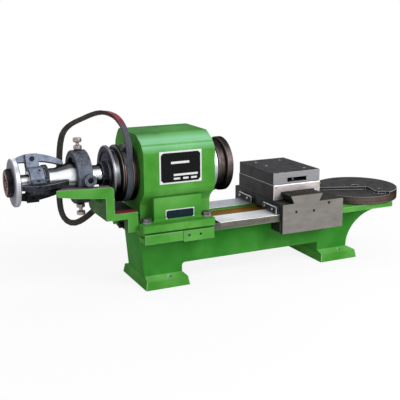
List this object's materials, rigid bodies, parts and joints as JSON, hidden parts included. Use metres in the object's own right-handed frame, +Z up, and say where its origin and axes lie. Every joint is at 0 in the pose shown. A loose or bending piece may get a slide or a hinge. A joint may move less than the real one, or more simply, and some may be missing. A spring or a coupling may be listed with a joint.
{
  "type": "small bench lathe",
  "caption": "Small bench lathe: belt-driven headstock spindle with a lever-closed collet, carriage with cross slide and tool block, and a round base plate at the tail end.",
  "frame": {"origin": "centre of the footprint on the bench", "axes": "+X along the bed towards the tail end, +Y to the back, +Z up"},
  "size_m": [0.8536, 0.205, 0.3417],
  "materials": {
    "green_paint": "satin machine enamel on cast iron",
    "ground_steel": "ground",
    "dark_steel": "machined, aged",
    "bright_steel": "polished",
    "phosphate_steel": "phosphated",
    "oiled_iron": "oily",
    "brown_iron": "oily, turned",
    "plate_steel": "turned",
    "black_steel": "black oxide",
    "belt_rubber": "matt"
  },
  "bodies": {
    "bed": {"bed_casting": "green_paint", "headstock_casting": "green_paint", "front_clamp_left": "green_paint", "front_clamp_right": "green_paint", "rear_clamp": "green_paint", "hold_down_bolt_front_left": "plate_steel", "hold_down_bolt_rear_left": "plate_steel", "hold_down_bolt_front_right": "plate_steel", "hold_down_bolt_rear_right": "plate_steel", "rear_bearing_outer_ring": "ground_steel", "front_bearing_outer_ring": "ground_steel", "rear_bearing_cover": "dark_steel", "front_bearing_cover": "bright_steel", "drive_belt": "belt_rubber", "lever_bracket": "green_paint", "bracket_screw_front": "black_steel", "bracket_screw_rear": "black_steel", "tail_disc": "dark_steel", "disc_bolt": "black_steel"},
    "spindle_set": {"spindle": "bright_steel", "rear_bearing_inner_ring": "ground_steel", "front_bearing_inner_ring": "ground_steel", "nose_flange": "brown_iron", "spindle_pulley": "oiled_iron", "pulley_lock_nut": "phosphate_steel", "finger_carrier": "phosphate_steel", "carrier_lock_nut": "black_steel", "finger_pin_1": "dark_steel", "finger_pin_2": "dark_steel", "finger_pin_3": "dark_steel"},
    "finger_1": {"closer_finger_1": "phosphate_steel"},
    "finger_2": {"closer_finger_2": "phosphate_steel"},
    "finger_3": {"closer_finger_3": "phosphate_steel"},
    "draw_set": {"draw_tube": "bright_steel", "collet": "ground_steel", "closer_end_plate": "plate_steel", "closer_nut": "black_steel"},
    "cone": {"shift_cone": "bright_steel"},
    "shift_set": {"shift_ring": "phosphate_steel", "shift_race": "ground_steel", "grease_cup_top": "plate_steel", "grease_cup_bottom": "plate_steel"},
    "cap_top": {"grease_cap_top": "plate_steel"},
    "cap_bottom": {"grease_cap_bottom": "plate_steel"},
    "carriage": {"saddle": "ground_steel", "keep_plate_front": "ground_steel", "keep_plate_rear": "ground_steel", "saddle_gib": "dark_steel", "way_wiper_front": "dark_steel", "way_wiper_rear": "dark_steel"},
    "cross": {"cross_slide": "ground_steel", "cross_slide_gib": "dark_steel", "tool_block": "ground_steel"}
  },
  "joints": [
    {"name": "spindle_spin", "type": "hinge", "parent": "bed", "child": "spindle_set", "pos_m": [-0.1, -0.0105, 0.2214], "axis": [1, 0, 0], "continuous": true},
    {"name": "shift_slide", "type": "slide", "parent": "bed", "child": "shift_set", "axis": [1, 0, 0], "range_m": [0, 0.013]},
    {"name": "cone_slide", "type": "slide", "parent": "spindle_set", "child": "cone", "axis": [1, 0, 0], "range_m": [0, 0.013]},
    {"name": "finger_1_swing", "type": "hinge", "parent": "spindle_set", "child": "finger_1", "pos_m": [-0.37505, 0.00608, 0.25648], "axis": [0, 0.9041, -0.4274], "range_deg": [0, 4]},
    {"name": "finger_2_swing", "type": "hinge", "parent": "spindle_set", "child": "finger_2", "pos_m": [-0.37505, -0.04917, 0.21822], "axis": [0, -0.0819, 0.9966], "range_deg": [0, 4]},
    {"name": "finger_3_swing", "type": "hinge", "parent": "spindle_set", "child": "finger_3", "pos_m": [-0.37505, 0.01159, 0.1895], "axis": [0, -0.8221, -0.5693], "range_deg": [0, 4]},
    {"name": "draw_slide", "type": "slide", "parent": "spindle_set", "child": "draw_set", "axis": [1, 0, 0], "range_m": [0, 0.0002]},
    {"name": "cap_top_turn", "type": "hinge", "parent": "shift_set", "child": "cap_top", "pos_m": [-0.29115, -0.00787, 0.28995], "axis": [0, 0.0384, 0.9993], "continuous": true},
    {"name": "cap_bottom_turn", "type": "hinge", "parent": "shift_set", "child": "cap_bottom", "pos_m": [-0.29115, -0.01313, 0.15285], "axis": [0, 0.0384, 0.9993], "continuous": true},
    {"name": "carriage_slide", "type": "slide", "parent": "bed", "child": "carriage", "axis": [1, 0, 0], "range_m": [-0.085, 0.005]},
    {"name": "cross_feed", "type": "slide", "parent": "carriage", "child": "cross", "axis": [0, 1, 0], "range_m": [-0.045, 0.045]}
  ],
  "couplings": [
    {"joint": "cone_slide", "follows": "shift_slide", "ratio": 1},
    {"joint": "finger_1_swing", "follows": "shift_slide", "rad_per_m": 5.3},
    {"joint": "finger_2_swing", "follows": "shift_slide", "rad_per_m": 5.3},
    {"joint": "finger_3_swing", "follows": "shift_slide", "rad_per_m": 5.3},
    {"joint": "draw_slide", "follows": "shift_slide", "ratio": 0.015}
  ]
}
